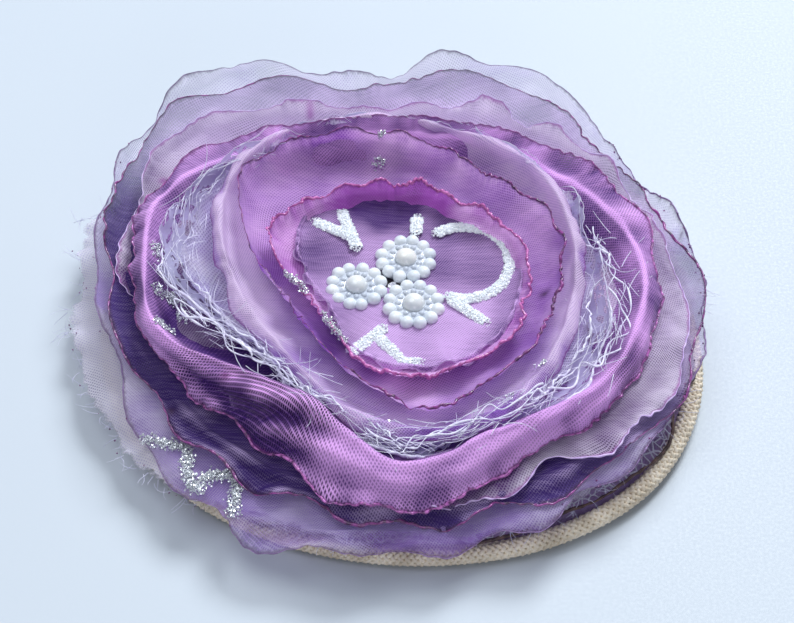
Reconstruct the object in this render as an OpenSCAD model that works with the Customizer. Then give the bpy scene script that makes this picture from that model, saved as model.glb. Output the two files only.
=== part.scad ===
// Flower hair clip: layered fabric flower with a braided edge, three pearl flowers in its centre,
// and a toothed spring clip under its felt back. Z = 0 is the surface it lies on, and the Z axis
// runs through the middle of the flower. The clip lies along X, with its lever end at -X.

/* [Flower] */
// Outer radius of the flower, over the braid
flower_r = 49; // [42:0.5:60]
// Radius of the round braid
braid_r = 1.5; // [1.2:0.1:2.2]
// Thickness of the felt backing
felt_t = 0.8; // [0.6:0.1:1.2]
// Thickness of the stiff base disc
base_t = 0.3; // [0.2:0.05:0.5]
// Thickness of the net underlay
net_t = 0.3; // [0.2:0.05:0.5]
// Radius of the bundle of sewing thread through the layers
thread_r = 0.7; // [0.5:0.1:1]

/* [Petals] */
// Thickness of one crinkled fabric layer
petal_t = 0.25; // [0.2:0.05:0.4]
// Radius of the flat centre petal
centre_petal_r = 19.5; // [18.5:0.5:24]
// Step in radius from one inner petal to the next
inner_step = 3.5; // [2.5:0.25:4]
// Step in radius from one outer petal to the next
outer_step = 1.5; // [1:0.25:2]
// Width of the part of the fold petal that rolls over outward
roll_w = 6.5; // [5:0.5:8]
// Width of the tulle frill
frill_w = 12; // [9:0.5:14]
// How far the tulle frill reaches past the braid
frill_overhang = 3; // [2:0.5:4]
// Thickness of the gathered tulle frill
frill_t = 0.6; // [0.4:0.1:0.8]

/* [Pearls] */
// Diameter of one pearl flower over its seed pearls
pearl_flower_d = 9.8; // [8:0.1:10]
// Diameter of a seed pearl
seed_d = 2; // [1.6:0.05:2]
// Diameter of a centre pearl
centre_pearl_d = 4; // [3.3:0.1:4.8]
// Place of the middle of the three pearl flowers, where the layers are stitched through
heart_x = -0.8; // [-1.5:0.1:1.5]
// Place of the middle of the three pearl flowers, towards the back
heart_y = -1.8; // [-2:0.1:2]
// Width of a glitter line
glitter_w = 2; // [1.4:0.1:2.2]
// Height of a glitter line
glitter_h = 0.5; // [0.3:0.1:0.8]

/* [Clip] */
// Length of the clip
clip_len = 57; // [48:1:68]
// Width of the clip's arm
clip_w = 9; // [8:0.5:11]
// Height of the clip, from the surface it lies on to the felt
clip_h = 9; // [8.8:0.1:11]
// Thickness of the clip's sheet steel
sheet_t = 0.7; // [0.55:0.05:0.85]
// Distance from the lever end to the hinge
lever_len = 18; // [16:0.5:21]
// Length of the flat thumb pad
pad_len = 7; // [5:0.5:8]
// Radius of the hinge pin
pin_r = 0.8; // [0.6:0.05:1]
// Diameter of the spring wire
wire_d = 0.5; // [0.4:0.05:0.6]
// Length of the felt patch along the clip
patch_len = 24; // [18:1:26]
// Width of the felt patch
patch_w = 14; // [12:0.5:18]

/* [Hidden] */
$fn = 48;

// Clearances
layer_gap = 0.05;       // between two layers of the stack
running_gap = 0.05;     // radial, jaw ears on the hinge pin
side_gap = 0.2;         // jaw between the arm's ears
tooth_gap = 0.15;       // closed teeth under the arm
spring_gap = 0.2;       // coil round the pin, and coil over the jaw
leg_gap = 0.05;         // spring legs on the plates
flower_gap = 0.16;      // between two pearl flowers
roll_gap = 0.8;         // rolled rim over the petal below
glitter_gap = 0.1;      // glitter round a pearl flower
pearl_gap = 0.05;       // seed pearls round their seat

// Stack of layers: bottom of each at the middle, from the felt up
braid_ring_r = flower_r - braid_r;
flat_r = clip_len / 2 + 1;              // the base is flat over the clip
base_z = clip_h + felt_t + layer_gap;
net_z = base_z + base_t + layer_gap;
stack_z = net_z + net_t + layer_gap;
layer_pitch = petal_t + layer_gap;

// Rim radii, from the lowest petal to the centre one
low_rim_r = flower_r - 0.5;
mid_rim_r = low_rim_r - outer_step;
high_rim_r = mid_rim_r - outer_step;
fold_rim_r = high_rim_r - 2;
crest_r = fold_rim_r - roll_w;
plum_rim_r = centre_petal_r + 2 * inner_step;
pink_rim_r = centre_petal_r + inner_step;
between = (crest_r - plum_rim_r) / 4;   // the lace and the middle petal share this space
lace_lower_r = crest_r - between;
lace_upper_r = crest_r - 2 * between;
middle_rim_r = crest_r - 3 * between;

// Lift of each layer at the flower's edge, if it went that far. Each is over the one before.
lifts = [7, 8.5, 9.5, 12.5, 13.3, 14.1, 15, 16, 17, 17.5];
knot_r = 0.9;
knot_h = 0.7;

// The base is flat over the clip, then droops until its edge meets the middle of the braid
drop = clip_h + felt_t / 2 - braid_r;
function droop(r) = let (u = (r - flat_r) / (braid_ring_r - braid_r - flat_r))
    -drop * pow(min(max(u, 0), 1), 1.8);

// Share of its lift that a petal has at radius r: none on the flat floor, all near the edge
function rise(r) = let (u = (r - centre_petal_r) / (flower_r - centre_petal_r))
    pow(max(u, 0), 1.3);

// Underside of layer i of the stack at radius r
function layer_z(i, r) = stack_z + i * layer_pitch + droop(r) + lifts[i] * rise(r);
floor_z = layer_z(len(lifts) - 1, 0) + petal_t;

// Underside of the fold petal: it rises to its crest, then rolls over and down to its rim
function fold_z(r) = let (
        u = min(max((r - crest_r) / (fold_rim_r - crest_r), 0), 1),
        s = u * u * (3 - 2 * u),
        rim_z = layer_z(2, fold_rim_r) + petal_t + roll_gap)
    (1 - s) * layer_z(3, min(r, crest_r)) + s * rim_z;

// Underside of the frill: it lies on the net, and lifts over the braid
frill_out_r = flower_r + frill_overhang;
frill_in_r = frill_out_r - frill_w;
frill_lift = 3;
function frill_z(r) = stack_z + droop(r)
    + frill_lift * pow((r - frill_in_r) / frill_w, 1.2);

// Radii at which the layers bend, the same for all, so that no two layers cross
inner_bends = 3;
outer_bends = 8;
bend_r = [
    for (i = [0:inner_bends - 1]) centre_petal_r + i * (flat_r - centre_petal_r) / inner_bends,
    for (i = [0:outer_bends]) flat_r + i * (frill_out_r - flat_r) / outer_bends];
function radii(from, to) = [from, for (r = bend_r) if (r > from + 0.1 && r < to - 0.1) r, to];

// Hinge and spring
hinge_x = -clip_len / 2 + lever_len;
coil_in_r = pin_r + spring_gap;
coil_r = coil_in_r + wire_d / 2;
coil_out_r = coil_in_r + wire_d;
arm_under_z = clip_h - sheet_t;
ear_r = pin_r + 1.4;                    // steel round the pin
ear_gap = 0.95;                         // jaw ears under the arm
hinge_z = arm_under_z - ear_r - ear_gap;
jaw_mid_z = hinge_z - coil_out_r - spring_gap - sheet_t / 2;
jaw_w = clip_w - 2 * sheet_t - 2 * side_gap;
tip_x = clip_len / 2;
tooth_h = 1.1;
tooth_count = 5;
pin_head_r = pin_r + 0.6;
pin_head_t = 0.5;
coil_turns = 4;
coil_half_l = 1.5;
patch_t = 0.5;                          // felt under the arm

// Pearl flowers: name order left, top, front
heart = [heart_x, heart_y];
cluster_r = (pearl_flower_d + flower_gap) / sqrt(3);
flower_angles = [187, 67, 307];
seed_count = 12;
seed_ring_r = (pearl_flower_d - seed_d) / 2;
flange_t = 0.3;
seat_r = seed_ring_r - seed_d / 2 - pearl_gap;
seat_h = 1.1;
pearl_sink = 0.35;                      // flat cut where a pearl is glued down

lilac = "#b58ccb";
pale_lilac = "#cfc3e8";
mauve = "#9c6fb5";
deep_purple = "#6a458f";
pink = "#b45aa5";
steel = "#b9bcc0";

// ---------------------------------------------------------------- fabric

// Height of the underside of each kind of fabric at radius r: a name, or a layer of the stack
function underside(kind, r) = kind == "fold" ? fold_z(r)
    : kind == "frill" ? frill_z(r)
    : kind == "felt" ? clip_h + droop(r)
    : kind == "base" ? base_z + droop(r)
    : kind == "net" ? net_z + droop(r)
    : layer_z(kind, r);

// Disc of fabric t thick, with the needle hole in it, or a ring from inner_r
module fabric(kind, t, rim_r, inner_r = 0) {
    rs = radii(inner_r, rim_r);
    last = len(rs) - 1;
    difference() {
        rotate_extrude($fn = 96)
            polygon(concat(
                [for (r = rs) [r, underside(kind, r)]],
                [for (i = [last:-1:0]) [rs[i], underside(kind, rs[i]) + t]]));
        if (inner_r == 0) translate(heart) cylinder(r = thread_r, h = 4 * clip_h);
    }
}

module braid_ring() {
    rotate_extrude($fn = 96) translate([braid_ring_r, braid_r]) circle(r = braid_r, $fn = 32);
}

module felt_backing() {
    color("#c9b9d6") difference() {
        fabric("felt", felt_t, braid_ring_r);
        braid_ring();
    }
}

module base_disc() { color("white") fabric("base", base_t, flat_r); }

module net_underlay() { color("white") fabric("net", net_t, braid_ring_r - braid_r - 0.5); }

module braid_trim() { color("#b8a88c") braid_ring(); }

module tulle_frill() { color(pale_lilac) fabric("frill", frill_t, frill_out_r, frill_in_r); }

module outer_petal_low() { color(pale_lilac) fabric(0, petal_t, low_rim_r); }

module outer_petal_mid() { color(deep_purple) fabric(1, petal_t, mid_rim_r); }

module outer_petal_high() { color(lilac) fabric(2, petal_t, high_rim_r); }

module fold_petal() { color(mauve) fabric("fold", petal_t, fold_rim_r); }

module lace_lower() { color("white") fabric(4, petal_t, lace_lower_r); }

module lace_upper() { color(pale_lilac) fabric(5, petal_t, lace_upper_r); }

module middle_petal() { color(lilac) fabric(6, petal_t, middle_rim_r); }

module inner_petal_outer() { color(mauve) fabric(7, petal_t, plum_rim_r); }

module inner_petal_inner() { color(pink) fabric(8, petal_t, pink_rim_r); }

module centre_petal() { color(lilac) fabric(9, petal_t, centre_petal_r); }

// Thread through all the layers, knotted between the pearl flowers
module sewing_thread() {
    color("white") translate(concat(heart, clip_h)) {
        cylinder(r = thread_r, h = floor_z - clip_h);
        translate([0, 0, floor_z - clip_h]) cylinder(r1 = knot_r, r2 = knot_r / 2, h = knot_h);
    }
}

// ---------------------------------------------------------------- glitter and pearls

// Line with round ends from a to b, drawn flat
module line(a, b) {
    d = b - a;
    translate(a) circle(d = glitter_w);
    translate(b) circle(d = glitter_w);
    translate(a) rotate(atan2(d.y, d.x)) translate([0, -glitter_w / 2]) square([norm(d), glitter_w]);
}

// Point at an angle and a distance from the heart
function polar(angle, r) = r * [cos(angle), sin(angle)];
function from_heart(angle, r) = heart + polar(angle, r);

// Twigs of glitter that run out from between the pearl flowers, and a loop on their right
module glitter_scroll() {
    twig_in = cluster_r + (pearl_flower_d + glitter_w) / 2 - 1.3;
    twig_out = centre_petal_r - norm(heart) - glitter_w / 2 - 0.3;
    loop_r = 7.6 + glitter_w / 2;
    loop_mid = [centre_petal_r - 0.5 - loop_r, heart_y + 3.8];
    color("white") translate([0, 0, floor_z]) linear_extrude(glitter_h) difference() {
        union() {
            for (angle = [116, 133])
                line(from_heart(127, twig_in), from_heart(angle, twig_out));
            for (angle = [249, 277])
                line(from_heart(262, twig_in), from_heart(angle, twig_out));
            line(from_heart(338, twig_in), from_heart(330, twig_out));
            translate(loop_mid) difference() {
                circle(r = loop_r);
                circle(r = loop_r - glitter_w);
                polygon([[0, 0], polar(118, 3 * loop_r), polar(180, 4 * loop_r),
                    polar(256, 3 * loop_r)]);
            }
        }
        for (angle = flower_angles)
            translate(from_heart(angle, cluster_r)) circle(d = pearl_flower_d + 2 * glitter_gap);
    }
}

module at_flower(i) {
    translate(concat(from_heart(flower_angles[i], cluster_r), floor_z)) children();
}

// White seat: a flange under the seed pearls and a boss under the centre pearl
module pearl_base(i) {
    color("white") at_flower(i) {
        cylinder(r = pearl_flower_d / 2 - 0.3, h = flange_t);
        cylinder(r = seat_r, h = seat_h);
    }
}

// Pearl of diameter d glued down at height z, where it is flat
module pearl(d, z) {
    translate([0, 0, z]) intersection() {
        translate([0, 0, d / 2 - pearl_sink]) sphere(d = d);
        translate([-d, -d, 0]) cube([2 * d, 2 * d, 2 * d]);
    }
}

module seed_pearls(i) {
    color("ivory") at_flower(i) for (k = [1:seed_count]) rotate(k * 360 / seed_count)
        translate([seed_ring_r, 0, 0]) pearl(seed_d, flange_t, $fn = 32);
}

module centre_pearl(i) { color("ivory") at_flower(i) pearl(centre_pearl_d, seat_h); }

// ---------------------------------------------------------------- clip

// Flat shapes drawn in X and Z, cut from sheet w wide and centred on Y
module side_sheet(w) { rotate([90, 0, 0]) translate([0, 0, -w / 2]) linear_extrude(w) children(); }

// Bent strip of sheet along a list of points, with mitred bends
function unit(v) = v / norm(v);
function across(a, b) = unit([a.y - b.y, b.x - a.x]);
function bend_point(points, i, side) = let (
        last = len(points) - 1,
        before = across(points[max(i - 1, 0)], points[max(i, 1)]),
        after = across(points[min(i, last - 1)], points[min(i + 1, last)]),
        mitre = unit(before + after))
    points[i] + side * sheet_t / 2 / (mitre * before) * mitre;

module bent_strip(points) {
    last = len(points) - 1;
    polygon(concat(
        [for (i = [0:last]) bend_point(points, i, 1)],
        [for (i = [last:-1:0]) bend_point(points, i, -1)]));
}

// Two ears, one on each side, with the outer faces w apart
module ears(w, reach_z, hole_r) {
    for (side = [-1, 1]) translate([0, side * (w - sheet_t) / 2, 0]) side_sheet(sheet_t)
        difference() {
            union() {
                translate([hinge_x, hinge_z]) circle(r = ear_r);
                translate([hinge_x - ear_r, min(reach_z, hinge_z)])
                    square([2 * ear_r, abs(reach_z - hinge_z)]);
            }
            translate([hinge_x, hinge_z]) circle(r = hole_r);
        }
}

// Plan of a strip with round ends, from x = a to x = b
module strip_plan(a, b, w) {
    corner_r = w / 4;
    translate([a + corner_r, -w / 2]) square([b - a - 2 * corner_r, w]);
    translate([a, corner_r - w / 2]) square([b - a, w - 2 * corner_r]);
    for (x = [a + corner_r, b - corner_r], y = [-1, 1] * (w / 2 - corner_r))
        translate([x, y]) circle(r = corner_r);
}

module clip_top_arm() {
    color(steel) {
        translate([0, 0, arm_under_z]) linear_extrude(sheet_t)
            strip_plan(-clip_len / 2, clip_len / 2, clip_w);
        ears(clip_w, arm_under_z + sheet_t / 2, pin_r);
    }
}

module clip_jaw() {
    lip_x = tip_x - sheet_t / 2;
    lip_top = arm_under_z - tooth_gap;
    pitch = jaw_w / tooth_count;
    lip_h = 2.6;
    rise_x = tip_x - 13.5;               // where the jaw bends up to the arm
    path = [
        [-clip_len / 2, sheet_t / 2],
        [pad_len - clip_len / 2, sheet_t / 2],
        [hinge_x - 0.5, jaw_mid_z],
        [rise_x, jaw_mid_z],
        [lip_x, arm_under_z - lip_h],
        [lip_x, lip_top],
    ];
    color(steel) difference() {
        union() {
            side_sheet(jaw_w) bent_strip(path);
            ears(jaw_w, jaw_mid_z, pin_r + running_gap);
        }
        // gaps between the teeth
        for (k = [0:tooth_count]) translate([lip_x, (k - tooth_count / 2) * pitch, lip_top])
            rotate([90, 0, 90]) linear_extrude(4 * sheet_t, center = true)
                polygon([[-pitch / 2, 0.01], [pitch / 2, 0.01], [0, -tooth_h]]);
    }
}

module hinge_pin() {
    color(steel) translate([hinge_x, 0, hinge_z]) rotate([90, 0, 0]) {
        cylinder(r = pin_r, h = clip_w, center = true);
        for (side = [-1, 1]) translate([0, 0, side * (clip_w + pin_head_t) / 2])
            cylinder(r = pin_head_r, h = pin_head_t, center = true);
    }
}

// Spring wire: a point and the direction of the wire in X and Z, from the leg on the lever,
// round the coil, to the leg on the arm
leg_x = hinge_x - lever_len / 2;
lever_slope = (jaw_mid_z - sheet_t / 2) / (lever_len - 0.5 - pad_len);
lower_leg_z = jaw_mid_z + (sheet_t + wire_d) / 2 * sqrt(1 + pow(lever_slope, 2)) + leg_gap
    - lever_slope * (lever_len / 2 - 0.5);
upper_leg_z = arm_under_z - wire_d / 2 - leg_gap;
steps_per_turn = 16;
coil_steps = (coil_turns + 0.5) * steps_per_turn;
function coil_angle(k) = -90 + k * 360 / steps_per_turn;
lower_way = unit([hinge_x - leg_x, hinge_z - coil_r - lower_leg_z]);
upper_way = unit([leg_x - hinge_x, upper_leg_z - hinge_z - coil_r]);
wire_path = concat(
    [[[leg_x, -coil_half_l, lower_leg_z], lower_way]],
    [for (k = [0:coil_steps]) [
        [hinge_x + coil_r * cos(coil_angle(k)), (2 * k / coil_steps - 1) * coil_half_l,
            hinge_z + coil_r * sin(coil_angle(k))],
        [-sin(coil_angle(k)), cos(coil_angle(k))]]],
    [[[leg_x, coil_half_l, upper_leg_z], upper_way]]);

module torsion_spring() {
    sides = 8;
    rings = len(wire_path);
    points = [for (p = wire_path, s = [0:sides - 1]) let (a = s * 360 / sides)
        p[0] + wire_d / 2 * [cos(a) * p[1].y, sin(a), -cos(a) * p[1].x]];
    walls = [for (i = [0:rings - 2], s = [0:sides - 1]) let (n = (s + 1) % sides)
        [i * sides + s, (i + 1) * sides + s, (i + 1) * sides + n, i * sides + n]];
    start_cap = [for (s = [0:sides - 1]) s];
    end_cap = [for (s = [sides - 1:-1:0]) (rings - 1) * sides + s];
    color("silver") polyhedron(points, concat([start_cap, end_cap], walls));
}

// Felt bridge over the arm, sewn to the backing on both sides of it
module felt_patch() {
    patch_x = hinge_x + ear_r + 4;
    patch_l = min(patch_len, tip_x - patch_x - 5);
    color("#c9b9d6") difference() {
        translate([patch_x, -patch_w / 2, arm_under_z - patch_t])
            cube([patch_l, patch_w, sheet_t + patch_t]);
        translate([patch_x - 1, -clip_w / 2, arm_under_z])
            cube([patch_l + 2, clip_w, sheet_t + 1]);
    }
}

clip_top_arm();
clip_jaw();
hinge_pin();
torsion_spring();
felt_patch();
felt_backing();
base_disc();
net_underlay();
braid_trim();
tulle_frill();
outer_petal_low();
outer_petal_mid();
outer_petal_high();
fold_petal();
lace_lower();
lace_upper();
middle_petal();
inner_petal_outer();
inner_petal_inner();
centre_petal();
sewing_thread();
glitter_scroll();
pearl_base(0);  // pearl_base_left
pearl_base(1);  // pearl_base_top
pearl_base(2);  // pearl_base_front
seed_pearls(0);  // seed_pearls_left
seed_pearls(1);  // seed_pearls_top
seed_pearls(2);  // seed_pearls_front
centre_pearl(0);  // centre_pearl_left
centre_pearl(1);  // centre_pearl_top
centre_pearl(2);  // centre_pearl_front
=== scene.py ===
# Flower hair clip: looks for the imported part. Lengths are in millimetres until a mesh is made.
import math
import bpy
import numpy as np
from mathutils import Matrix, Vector


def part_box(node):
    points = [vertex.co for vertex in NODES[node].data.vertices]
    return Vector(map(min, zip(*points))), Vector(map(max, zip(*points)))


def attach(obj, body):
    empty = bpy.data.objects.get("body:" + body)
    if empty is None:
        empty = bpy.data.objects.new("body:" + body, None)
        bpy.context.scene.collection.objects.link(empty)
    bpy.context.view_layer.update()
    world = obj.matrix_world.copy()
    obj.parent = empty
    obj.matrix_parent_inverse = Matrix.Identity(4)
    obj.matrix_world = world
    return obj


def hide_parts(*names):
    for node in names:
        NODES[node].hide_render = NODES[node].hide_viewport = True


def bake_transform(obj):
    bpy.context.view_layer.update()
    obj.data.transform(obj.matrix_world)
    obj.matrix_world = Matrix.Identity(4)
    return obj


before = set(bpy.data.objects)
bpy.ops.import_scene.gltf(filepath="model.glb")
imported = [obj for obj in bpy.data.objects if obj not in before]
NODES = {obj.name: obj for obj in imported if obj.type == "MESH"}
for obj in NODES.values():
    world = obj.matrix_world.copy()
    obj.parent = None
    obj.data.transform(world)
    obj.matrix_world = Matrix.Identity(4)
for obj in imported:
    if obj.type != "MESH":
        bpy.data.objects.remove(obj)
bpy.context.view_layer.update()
MM = 0.001

# ---------------- stage

scene = bpy.context.scene
scene.view_settings.view_transform = "Standard"
scene.cycles.transparent_max_bounces = 40
scene.cycles.max_bounces = 8

# the camera looks down on the flower from its front: degrees and metres
ELEVATION = 48.5
DISTANCE = 0.36
TARGET = Vector((0, -0.0022, 0.008))
camera = bpy.data.objects.new("camera", bpy.data.cameras.new("camera"))
scene.collection.objects.link(camera)
scene.camera = camera
camera.data.lens = 100
camera.data.sensor_width = 36
camera.data.clip_start = 0.01
tilt = math.radians(ELEVATION)
back = Vector((0, -math.cos(tilt), math.sin(tilt)))
camera.location = TARGET + back * DISTANCE
camera.rotation_euler = (-back).to_track_quat("-Z", "Y").to_euler()


def area_light(name, at, size, watts, colour):
    """A round lamp that faces the flower."""
    data = bpy.data.lights.new(name, "AREA")
    data.shape = "DISK"
    data.size = size
    data.energy = watts
    data.color = colour
    lamp = bpy.data.objects.new(name, data)
    scene.collection.objects.link(lamp)
    lamp.location = at
    lamp.rotation_euler = (-Vector(at)).to_track_quat("-Z", "Y").to_euler()


area_light("window", (0.38, 0.82, 0.93), 0.56, 18.8, (0.9, 0.955, 1.0))
area_light("overhead", (-0.25, 0.1, 0.9), 0.7, 3.6, (0.9, 0.95, 1.0))
area_light("front", (0.15, -1.0, 0.36), 0.5, 1.9, (0.95, 0.93, 1.0))

world = bpy.data.worlds.new("world")
scene.world = world
world.use_nodes = True
sky = world.node_tree.nodes["Background"].inputs
sky["Color"].default_value = (0.76, 0.87, 1.0, 1)
sky["Strength"].default_value = 0.26


# ---------------- materials


def srgb(r, g, b):
    """An 8-bit screen colour as the linear one that shaders use."""
    parts = (c / 255 for c in (r, g, b))
    return (*(c / 12.92 if c <= 0.04045 else ((c + 0.055) / 1.055) ** 2.4 for c in parts), 1.0)


class Graph:
    """A few short ways to make and join shader nodes."""

    def __init__(self, name):
        self.material = bpy.data.materials.new(name)
        self.material.use_nodes = True
        self.tree = self.material.node_tree
        self.tree.nodes.clear()

    def add(self, kind, inputs=(), **settings):
        """A node with its settings and what goes into its inputs: values or other nodes' outputs."""
        n = self.tree.nodes.new("ShaderNode" + kind)
        for key, value in settings.items():
            setattr(n, key, value)
        for key, value in dict(inputs).items():
            if isinstance(value, bpy.types.NodeSocket):
                self.tree.links.new(value, n.inputs[key])
            elif value is not None:
                n.inputs[key].default_value = value
        return n

    def math(self, op, a, b=None, c=None, clamp=False):
        return self.add("Math", enumerate((a, b, c)), operation=op, use_clamp=clamp).outputs[0]

    def times(self, a, b, plus=None, clamp=False):
        return self.math("MULTIPLY" if plus is None else "MULTIPLY_ADD", a, b, plus, clamp=clamp)

    def mix(self, t, a, b):
        return self.add("Mix", {"Factor": t, 6: a, 7: b}, data_type="RGBA", clamp_factor=True).outputs[2]

    def span(self, value, a, b, c=0.0, d=1.0):
        inputs = {"Value": value, "From Min": a, "From Max": b, "To Min": c, "To Max": d}
        return self.add("MapRange", inputs, interpolation_type="SMOOTHSTEP").outputs["Result"]

    def noise(self, vector, scale, detail, rough=0.55, colour=False):
        n = self.add("TexNoise", {"Vector": vector, "Scale": scale, "Detail": detail, "Roughness": rough})
        return n.outputs["Color" if colour else "Fac"]

    def attribute(self, name):
        return self.add("Attribute", attribute_name=name).outputs["Fac"]

    def flat(self):
        return self.add("UVMap", uv_map="flat").outputs[0]

    def split(self, vector):
        return self.add("SeparateXYZ", {0: vector}).outputs

    def scaled(self, vector, x, y, z, turn=0.0):
        inputs = {"Vector": vector, "Scale": (x, y, z), "Rotation": (0, 0, turn)}
        return self.add("Mapping", inputs).outputs[0]

    def principled(self, **values):
        return self.add("BsdfPrincipled", {k.replace("_", " "): v for k, v in values.items()})

    def bump(self, height, strength, distance):
        return self.add("Bump", {"Height": height, "Strength": strength, "Distance": distance}).outputs[0]

    def blend(self, share, a, b):
        return self.add("MixShader", enumerate((share, a, b))).outputs[0]

    def finish(self, shader):
        self.add("OutputMaterial", {"Surface": shader})
        return self.material

    def finish_sheer(self, skin, colour, glow, cover):
        """Finish with a skin that lets some light glow through it and is clear where it has no cover."""
        through = self.add("BsdfTranslucent", {"Color": colour})
        clear = self.add("BsdfTransparent")
        both = self.blend(glow, skin.outputs[0], through.outputs[0])
        return self.finish(self.blend(cover, clear.outputs[0], both))


WEAVE_TURN = 0.62  # radians that the weave is turned by in its flat disc
CLOTH_ROUGH = 0.62
LACE_R = 34  # mm, the radius at which pulled lace keeps its cell size
LACE_GLOW = 0.4


def cloth(name, deep, pale, singed, alpha, pitch, opening, glow, ragged=0.0):
    """Sheer woven cloth. The weave runs in the flat cloth's own millimetres, kept in its UV map.
    deep and pale are its colours painted in shade in folds and in light on crests, and singed is its melted
    edge. What changes slowly over the cloth is kept in its points: tone (its random lightness with painted
    light and shade), open (how loose the weave is), edge (distance from the rim), burn (marks) and sheer (how
    much clearer it is)."""
    g = Graph(name)
    deep, pale, singed = (srgb(*c) for c in (deep, pale, singed))
    uv = g.flat()
    turned = g.split(g.scaled(uv, 1, 1, 1, WEAVE_TURN))
    rows = []
    for axis in (0, 1):
        wave = g.math("SINE", g.times(turned[axis], 2 * math.pi / (pitch * MM)))
        rows.append(g.times(wave, 0.5, 0.5))
    thread = g.math("MAXIMUM", rows[0], rows[1])
    gap = g.math("SUBTRACT", 1.0, thread)
    edge, tone, loose, burn, sheer = (g.attribute(n) for n in ("edge", "tone", "open", "burn", "sheer"))
    crackle = g.noise(g.scaled(uv, 1500, 1500, 1), 1.0, 2.0)
    streak = g.noise(g.scaled(uv, 200, 2400, 1, 0.4), 1.0, 1.0)
    tone = g.math("ADD", tone, g.times(streak, 0.4, -0.2))
    # threads lighter than the gaps between them: the weave's own pattern with a painted glint on its threads
    tone = g.math("ADD", tone, g.times(thread, 0.5, -0.4), clamp=True)
    # the colour runs from the painted shade colour to the painted light colour with the tone
    colour = g.mix(tone, deep, pale)
    # in a loose weave the gaps are painted dark: painted shade seen through the holes
    gap_shade = tuple(c * 0.3 for c in deep[:3]) + (1,)
    colour = g.mix(g.times(gap, g.times(loose, 1.2, 0.12)), colour, gap_shade)
    reach = g.times(crackle, 1.3, -0.1)
    burnt = g.math("SUBTRACT", 1.0, g.span(edge, 0.0, reach))
    burnt = g.math("MAXIMUM", burnt, burn)
    colour = g.mix(g.times(burnt, 0.85), colour, singed)
    cover = g.times(g.times(sheer, -1.0, 1.0), alpha)
    holes = g.times(gap, g.times(loose, opening, 0.06))
    cover = g.math("SUBTRACT", cover, holes, clamp=True)
    if ragged:
        rags = g.noise(g.scaled(uv, 500, 500, 1), 1.0, 4.0, 0.7)
        torn = g.math("ADD", edge, g.times(rags, -2.2 * ragged, 0.7 * ragged))
        cover = g.times(cover, g.span(torn, 0.0, 0.5 * ragged))
    else:
        cover = g.math("MAXIMUM", cover, g.times(burnt, 0.8))
    relief = g.times(g.times(crackle, burnt), 2.0, thread)
    skin = g.principled(Base_Color=colour, Roughness=CLOTH_ROUGH, Normal=g.bump(relief, 0.35, 0.00012),
                        Sheen_Weight=0.1, Sheen_Roughness=0.4, Specular_IOR_Level=0.2)
    return g.finish_sheer(skin, colour, glow, cover)


def web(name, colour, alpha, cell, wire, torn, pull=0.0):
    """Net or torn lace: threads round holes of about cell millimetres, pull times as long round the ring."""
    g = Graph(name)
    colour = srgb(*colour)
    uv = g.flat()
    if pull:
        flat = g.split(uv)
        away = g.add("VectorMath", {0: uv}, operation="LENGTH").outputs["Value"]
        angle = g.math("ARCTAN2", flat[1], flat[0])
        ring = {0: g.times(angle, LACE_R / cell / pull), 1: g.times(away, 1000 / cell)}
        place = g.add("CombineXYZ", ring).outputs[0]
    else:
        place = g.scaled(uv, 1000 / cell, 1000 / cell, 1)
    wild = g.noise(g.scaled(uv, 500 / cell, 500 / cell, 1), 1.0, 2.0, colour=True)
    wild = g.add("VectorMath", {0: wild, "Scale": torn * 2}, operation="SCALE").outputs[0]
    bent = g.add("VectorMath", {0: place, 1: wild}, operation="ADD").outputs[0]
    cells = {"Vector": bent, "Scale": 1.0}
    cells = g.add("TexVoronoi", cells, feature="DISTANCE_TO_EDGE", voronoi_dimensions="2D")
    gap = cells.outputs["Distance"]
    patches = g.noise(g.scaled(uv, 220, 220, 1), 1.0, 4.0)
    width = g.times(g.span(patches, 0.35, 0.7, 0.5, 1.0 + 3 * torn), wire)
    thread = g.math("SUBTRACT", 1.0, g.span(gap, g.times(width, 0.6), width))
    film = g.times(g.span(patches, 0.4, 0.75), torn * 0.5)
    cover = g.times(g.math("MAXIMUM", thread, film), alpha, clamp=True)
    fine = g.noise(g.scaled(uv, 2500, 2500, 1), 1.0, 2.0)
    shaded = (colour[0] * 0.6, colour[1] * 0.55, colour[2] * 0.75, 1)
    shade = g.mix(g.times(fine, 0.4), colour, shaded)
    skin = g.principled(Base_Color=shade, Roughness=0.6, Specular_IOR_Level=0.3,
                        Normal=g.bump(g.math("ADD", thread, fine), 0.5, 0.0002))
    return g.finish_sheer(skin, shade, LACE_GLOW, cover)


def solid(name, colour, second, scale, rough, metallic=0.0, bump=0.0, grain=2000, coat=0.0, sheen=0.0,
          stretch=(1, 1, 1)):
    """A plain finish with a procedural change of colour, roughness and relief."""
    g = Graph(name)
    here = g.scaled(g.add("TexCoord").outputs["Object"], *stretch)
    clouds = g.noise(here, scale, 4.0)
    fine = g.noise(here, grain, 3.0)
    tint = g.mix(g.span(clouds, 0.3, 0.7), srgb(*colour), srgb(*second))
    skin = g.principled(Base_Color=tint, Metallic=metallic, Coat_Weight=coat, Sheen_Weight=sheen,
                        Roughness=g.span(fine, 0.2, 0.8, rough * 0.8, min(1, rough * 1.2)),
                        Normal=g.bump(fine, bump, 0.0002) if bump else None)
    return g.finish(skin.outputs[0])


# ---------------- meshes


def rng(seed):
    return np.random.default_rng(seed)


def around(count):
    """Angles of count equal steps round a circle."""
    return np.linspace(0, 2 * math.pi, count, endpoint=False)


def unit(v):
    return v / np.linalg.norm(v, axis=-1, keepdims=True)


def round_axis(r, angle, z):
    """Points at radii, angles in radians and heights."""
    return np.stack(np.broadcast_arrays(r * np.cos(angle), r * np.sin(angle), z), -1)


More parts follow.
